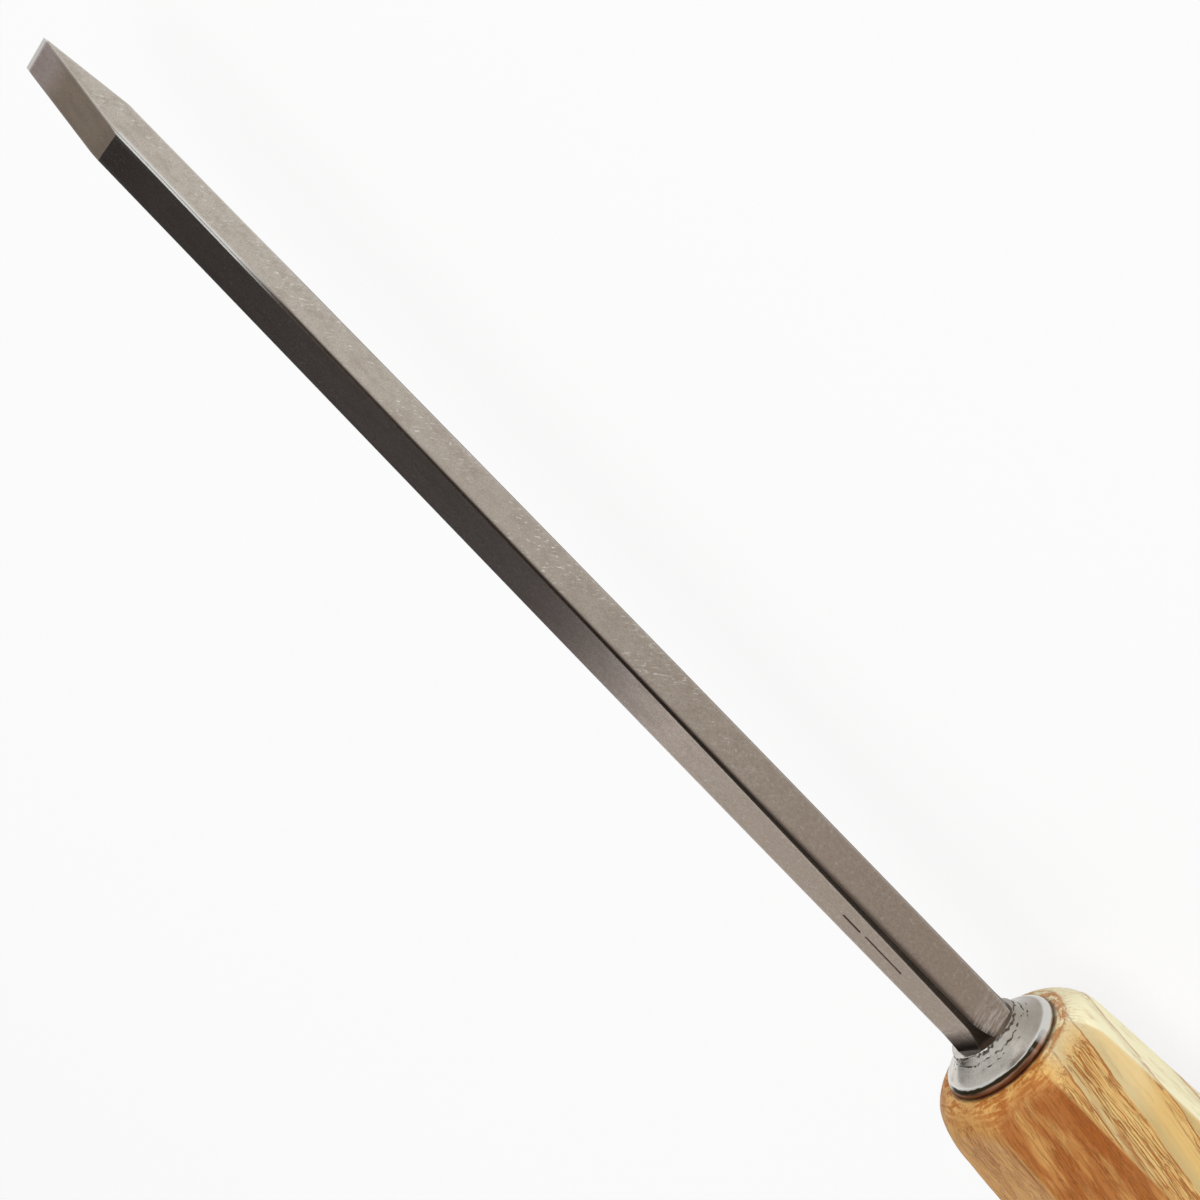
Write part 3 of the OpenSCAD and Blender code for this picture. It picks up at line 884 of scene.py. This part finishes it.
def ash_finish(colours):
    """Varnished ash: growth rings about a far pith, with porous earlywood and streaked latewood.

    Brown wood lies above the upper ridge, on the pith side, and the palest wood below the lower one, on the
    bark side; both are partly the wood's own colour, partly painted shade on the upper facets and painted
    light on the lower front ones. The turned nose shows torn and wrinkled end grain. Places are in
    millimetres.
    """
    material, field, place = new_material("ash")
    x, y, z = place.parts()
    cut_across = field.mark("cut_across")

    # Rings: the wood's own frame leans a little, sways and ripples, and reach is the distance from the pith.
    pith = (0.0, 25.4, 59.5)
    first_ring, ring_width = 69.3, 3.6
    leaning = place.stretch((1, 1, 1), turn=(0, math.radians(-10), 0))
    drift = leaning.stretch((0.02, 0.06, 0.06)).noise(1.0, 2, 0.5, "Color")
    ripple = leaning.stretch((0.2, 0.6, 0.6)).noise(1.0, 3, 0.55, "Color")
    swayed = field.vector("MULTIPLY_ADD", drift, (0, 2.0, 2.0), leaning)
    wavy = field.vector("MULTIPLY_ADD", ripple, (0, 0.7, 0.7), swayed)
    from_pith = field.vector("SUBTRACT", wavy.stretch((0, 1, 1)), pith)
    reach = field.vector("LENGTH", from_pith, out="Value")
    ring = (first_ring - reach) / ring_width
    share = field.calculate("FRACT", ring)
    early = share.smooth(0.0, 0.03) * (share - 0.72 * ring.smooth(-0.03, 0.0)).smooth(0.35, 0.08)
    late = share.smooth(0.5, 0.95)

    # Brown and pale sides: heights over the planes through the axis and the upper or the lower front ridge.
    # They are partly the wood's own colour, partly painted shade on the upper facets and painted light on
    # the lower front ones.
    ridge_z, ridge_y = 0.924, 0.383
    upper = ridge_z * z + ridge_y * y
    lower = ridge_z * z - ridge_y * y
    wander = x.smooth(-22, -110) * (3 + 9 * (drift.parts()[0] - 0.5))
    heart_and_shade = (upper - wander).smooth(-0.3, 0.2)
    pale = (lower + wander).smooth(0.35, -0.35) * y.smooth(7, -5)

    # Fibres and pores: noise drawn out along the grain. The turned nose cuts the pores short.
    fibre = wavy.stretch((0.05, 2.6, 2.6)).noise(1.0, 5, 0.65)
    band = wavy.stretch((0.012, 0.4, 0.4)).noise(1.0, 3, 0.5)
    streak = wavy.stretch((0.05, 1.1, 1.1)).noise(1.0, 3, 0.6)
    patch = wavy.stretch((0.07, 0.45, 0.45), (3, 9, 1)).noise(1.0, 3, 0.55)
    from_line = abs(wavy.stretch((0.1, 2.6, 2.6)).noise(1.0, 2, 0.55) - 0.5)
    long_pores = from_line.smooth(0.05, 0.018)
    short_pores = wavy.stretch((0.2, 4.2, 4.2), (7, 3, 5)).noise(1.0, 2, 0.55).smooth(0.6, 0.66)
    uncut = 1 - 0.8 * cut_across.smooth(0.0, 0.35)
    border = share.smooth(0.0, 0.015) * share.smooth(0.08, 0.04) * streak.smooth(0.36, 0.46)
    pores = field.calculate("MAXIMUM", long_pores * streak.smooth(0.4, 0.5), short_pores) * early * uncut
    pores = field.calculate("MAXIMUM", pores * (1 - 0.5 * pale), border * (1 - 0.3 * pale))
    halo = from_line.smooth(0.16, 0.03) * early * uncut * (1 - 0.6 * pale)
    dashes = long_pores * streak.smooth(0.54, 0.6) * patch.smooth(0.62, 0.5) * uncut
    beside_ring = share.smooth(0.35, 0.0) + share.smooth(0.7, 1.0)

    # Nose: wrinkles that run outward from the axis, and a darker arc beside the collar.
    radius = (y * y + z * z) ** 0.5
    around = field.node("ShaderNodeCombineXYZ", None, {
        0: y / radius * 4.5, 1: z / radius * 4.5, 2: (radius - x) * 1.6})
    wrinkle = around.noise(1.0, 3, 0.6)
    end_grain = wrinkle.smooth(0.45, 0.56).mix(colours.end_grain, colours.end_dark)
    from_arc = abs(radius + 1.2 * (wrinkle - 0.5) - 7.75)
    arc = from_arc.smooth(0.22, 0.06) * upper.smooth(1.5, -1.0) * cut_across

    # The brown side, tan on the top facet: partly the wood's colour, partly painted shade.
    brown = layered(
        band.smooth(0.35, 0.65).mix(colours.heartwood_and_shade, colours.heart_late),
        (upper.smooth(6.3, 8.8) * 0.75, colours.tan))
    wood = layered(
        late.mix(colours.earlywood, colours.latewood),
        (x.smooth(-12, -7) * (1 - early) * 0.2, colours.sapwood_and_light),
        # The pale lower front side: partly the wood's colour, partly painted light.
        (pale, colours.sapwood_and_light),
        (streak.smooth(0.5, 0.66) * pale * 0.2, colours.earlywood),
        (beside_ring * pale * x.smooth(-6, -18) * streak.smooth(0.35, 0.55) * 0.45, colours.tan),
        # The brown upper side: partly the wood's colour, partly painted shade.
        (heart_and_shade, brown),
        (patch.smooth(0.5, 0.66) * heart_and_shade * 0.75, colours.tan),
        (streak.smooth(0.45, 0.75) * (0.06 + 0.22 * heart_and_shade), colours.heart_late),
        (fibre.smooth(0.45, 0.75) * (0.12 + 0.14 * heart_and_shade) * (1 - 0.6 * pale), colours.pore),
        (halo * (0.4 - 0.3 * heart_and_shade), colours.end_dark),
        (pores * (0.75 - 0.45 * heart_and_shade), colours.pore),
        (dashes * (0.1 + 0.5 * heart_and_shade), colours.pore),
        # Lighter ridges: partly wear, partly a painted highlight.
        (field.mark("ridge") * 0.35, colours.earlywood),
        # Painted light: the nose is paler below the upper plane, like the lower front facets.
        (cut_across * upper.smooth(-0.4, -2.2) * 0.55, colours.sapwood_and_light),
        (cut_across * (0.1 + 0.75 * upper.smooth(-2.4, 0.3)), end_grain),
        # Darker wrinkles near the collar: partly the end grain's colour, partly painted shade.
        (cut_across * radius.smooth(8.4, 7.4) * wrinkle.smooth(0.42, 0.56) * 0.8, colours.end_dark),
        (arc * 0.75, colours.end_dark),
        # Darker torn creases: partly the grain's colour, partly painted shade in the creases.
        (field.mark("torn") * 0.5, colours.pore),
        # Painted shade where the wood meets the collar.
        (field.mark("collar_shade") * 0.85, colours.stain_and_shade))
    height = fibre * 0.3 - pores - halo * 0.6 - dashes * 0.5 + cut_across * wrinkle * 3 - arc
    finish_surface(field, {
        "Base Color": wood, "Roughness": 0.42 + 0.15 * fibre, "Normal": height.bump(0.06 * MM, 1.0),
        "Coat Weight": 0.1 - 0.08 * pores, "Coat Roughness": 0.2, "Specular IOR Level": 0.2})
    return material


class ChiselOperator(bpy.types.Operator):
    """Base of the chisel's operators."""
    bl_options = {"REGISTER", "UNDO"}


class CHISEL_OT_blade(ChiselOperator):
    """Adds the ground steel blade"""
    bl_idname = "chisel.blade"
    bl_label = "Blade"

    def execute(self, context):
        scene = context.scene
        material = blade_finish(scene.chisel_colours)
        add_piece("steel_blade", blade_surface(scene.chisel_sizes), material, "blade")
        return {"FINISHED"}


class CHISEL_OT_collar(ChiselOperator):
    """Adds the polished collar"""
    bl_idname = "chisel.collar"
    bl_label = "Collar"

    def execute(self, context):
        scene = context.scene
        material = collar_finish(scene.chisel_colours)
        add_piece("turned_collar", collar_surface(scene.chisel_sizes), material, "collar")
        return {"FINISHED"}


class CHISEL_OT_ferrule(ChiselOperator):
    """Finishes the ring inside the handle's nose"""
    bl_idname = "chisel.ferrule"
    bl_label = "Inner ring"

    def execute(self, context):
        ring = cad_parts["inner_ferrule"]
        ring.data.materials.clear()
        ring.data.materials.append(ferrule_finish(context.scene.chisel_colours))
        return {"FINISHED"}


class CHISEL_OT_handle(ChiselOperator):
    """Adds the octagonal ash handle"""
    bl_idname = "chisel.handle"
    bl_label = "Handle"

    def execute(self, context):
        scene = context.scene
        material = ash_finish(scene.chisel_colours)
        add_piece("ash_handle", handle_surface(scene.chisel_sizes), material, "handle")
        return {"FINISHED"}


def add_camera():
    """The camera: aimed at a point on the blade, then rolled about its own view line."""
    data = bpy.data.cameras.new("camera")
    data.sensor_width = SENSOR
    data.lens = FOCAL_PIXELS / PICTURE_SIDE * SENSOR
    data.clip_start = NEAREST_SEEN
    camera = bpy.data.objects.new("camera", data)
    ahead = (CAMERA_AIM - CAMERA_PLACE).normalized()
    level = ahead.cross(Vector((0, 0, 1))).normalized()
    above = level.cross(ahead)
    up = above * math.cos(CAMERA_ROLL) + level * math.sin(CAMERA_ROLL)
    right = ahead.cross(up)
    turned = Matrix((right, up, -ahead)).transposed().to_4x4()
    camera.matrix_world = Matrix.Translation(CAMERA_PLACE) @ turned
    bpy.context.scene.collection.objects.link(camera)
    bpy.context.scene.camera = camera


def add_lamp(name, place, side, power):
    """A square soft lamp that faces the tool and shows in no reflection."""
    data = bpy.data.lights.new(name, "AREA")
    data.shape = "SQUARE"
    data.size = side
    data.energy = power
    lamp = bpy.data.objects.new(name, data)
    lamp.location = place
    lamp.rotation_euler = (Vector((0, 0, AXIS_Z)) - Vector(place)).to_track_quat("-Z", "Y").to_euler()
    lamp.visible_glossy = False
    bpy.context.scene.collection.objects.link(lamp)


def floor_finish():
    """A white floor that keeps part of the tool's shadow where the camera or a reflection sees it."""
    material, field, place = new_material("pale_floor")
    x, y, _ = place.parts()
    rays = ("Is Camera Ray", "Is Glossy Ray", "Is Transmission Ray")
    seen, glossy, through = (field.node("ShaderNodeLightPath", out=ray) for ray in rays)
    far = ((x * x + y * y) ** 0.5).smooth(500, 1500)
    shown = field.calculate("MINIMUM", seen + glossy + through, 1.0)
    white = shown * (1 - SHADOW_SHARE + SHADOW_SHARE * far)
    matte = field.node("ShaderNodeBsdfDiffuse", None, {0: opaque([FLOOR_WHITE] * 3)})
    glow = field.node("ShaderNodeEmission", None, {0: opaque([1] * 3), 1: BACKGROUND})
    both = field.node("ShaderNodeMixShader", None, {0: white, 1: matte, 2: glow})
    field.node("ShaderNodeOutputMaterial", None, {0: both})
    return material


def studio_world():
    """Soft room light, and white to the camera.

    The light goes by heading and rise in degrees, with heading 0 behind the tool and 180 on the camera's
    side. It is strongest at the left and weakest behind the tool and above its left. The camera's side has a
    dark field with a slanting border, and a small bright window beside that border.
    """
    world = bpy.data.worlds.new("studio")
    world.use_nodes = True
    world.node_tree.nodes.clear()
    field = Field(world.node_tree)
    x, y, z = field.node("ShaderNodeTexCoord", out="Generated").parts()
    heading = field.calculate("ARCTAN2", x, y) * math.degrees(1)
    rise = field.calculate("ARCSINE", z) * math.degrees(1)
    front = abs(heading).smooth(95, 120)
    left = heading.smooth(-12, -16.5) * heading.smooth(-130, -100) * rise.smooth(75, 55)
    right = heading.smooth(26, 45) * heading.smooth(112, 95)
    behind = heading.smooth(14, 9) * heading.smooth(-16, -11) * rise.smooth(12, 20) * rise.smooth(75, 60)
    above_left = heading.smooth(-60, -45) * heading.smooth(15, 5) * rise.smooth(31, 37) * rise.smooth(75, 60)
    dim = field.calculate("MAXIMUM", behind, above_left) * (0.79 + 0.07 * heading.smooth(-3, 4))
    past_border = x - (0.35 - 0.0055 * rise)
    dark_front = front * past_border.smooth(0.08, -0.1) * rise.smooth(5, 15)
    window = front * past_border.smooth(-0.01, 0.04) * rise.smooth(42, 50) * x.smooth(0.28, 0.2)
    level = 0.45 + 0.3 * front + 0.2 * right
    level = level + left * (1.15 - level)
    level = level * (1 - dim) * (1 - 0.9 * dark_front)
    level = level + window * (1.5 - level)
    seen = field.node("ShaderNodeLightPath", out="Is Camera Ray")
    strength = level * (1 - seen) + BACKGROUND * seen
    shade = field.node("ShaderNodeBackground", None, {0: opaque([1] * 3), 1: strength})
    field.node("ShaderNodeOutputWorld", None, {0: shade})
    return world


class CHISEL_OT_stage(ChiselOperator):
    """Adds the floor, the lamps, the room light and the camera"""
    bl_idname = "chisel.stage"
    bl_label = "Stage"

    def execute(self, context):
        scene = context.scene
        scene.view_settings.view_transform = "Standard"
        scene.world = studio_world()
        mesh = bpy.data.meshes.new("floor")
        corners = [(x * FLOOR_REACH, y * FLOOR_REACH, 0) for x, y in ((-1, -1), (1, -1), (1, 1), (-1, 1))]
        mesh.from_pydata(corners, [], [(0, 1, 2, 3)])
        mesh.materials.append(floor_finish())
        floor = bpy.data.objects.new("floor", mesh)
        scene.collection.objects.link(floor)
        for lamp in LAMPS:
            add_lamp(*lamp)
        add_camera()
        return {"FINISHED"}


class CHISEL_PT_panel(bpy.types.Panel):
    """Lists the chisel's pieces, sizes and colours"""
    bl_idname = "CHISEL_PT_panel"
    bl_label = "Carving chisel"
    bl_space_type = "VIEW_3D"
    bl_region_type = "UI"
    bl_category = "Chisel"

    def draw(self, context):
        """Shows a button for each operator, then every size and colour."""
        for operator in OPERATORS:
            self.layout.operator(operator.bl_idname)
        for group in (context.scene.chisel_sizes, context.scene.chisel_colours):
            for name in group.__annotations__:
                self.layout.prop(group, name)


OPERATORS = (CHISEL_OT_blade, CHISEL_OT_collar, CHISEL_OT_ferrule, CHISEL_OT_handle, CHISEL_OT_stage)
CLASSES = (ChiselSizes, ChiselColours, *OPERATORS, CHISEL_PT_panel)


def register():
    """Adds the classes to Blender and the sizes and colours to its scenes."""
    for entry in CLASSES:
        bpy.utils.register_class(entry)
    bpy.types.Scene.chisel_sizes = bpy.props.PointerProperty(type=ChiselSizes)
    bpy.types.Scene.chisel_colours = bpy.props.PointerProperty(type=ChiselColours)


def unregister():
    """Takes them all away again."""
    del bpy.types.Scene.chisel_colours
    del bpy.types.Scene.chisel_sizes
    for entry in reversed(CLASSES):
        bpy.utils.unregister_class(entry)


def main():
    """Builds the pieces and the stage."""
    register()
    bpy.ops.chisel.blade()
    bpy.ops.chisel.collar()
    bpy.ops.chisel.ferrule()
    bpy.ops.chisel.handle()
    bpy.ops.chisel.stage()


if __name__ == "__main__":
    main()
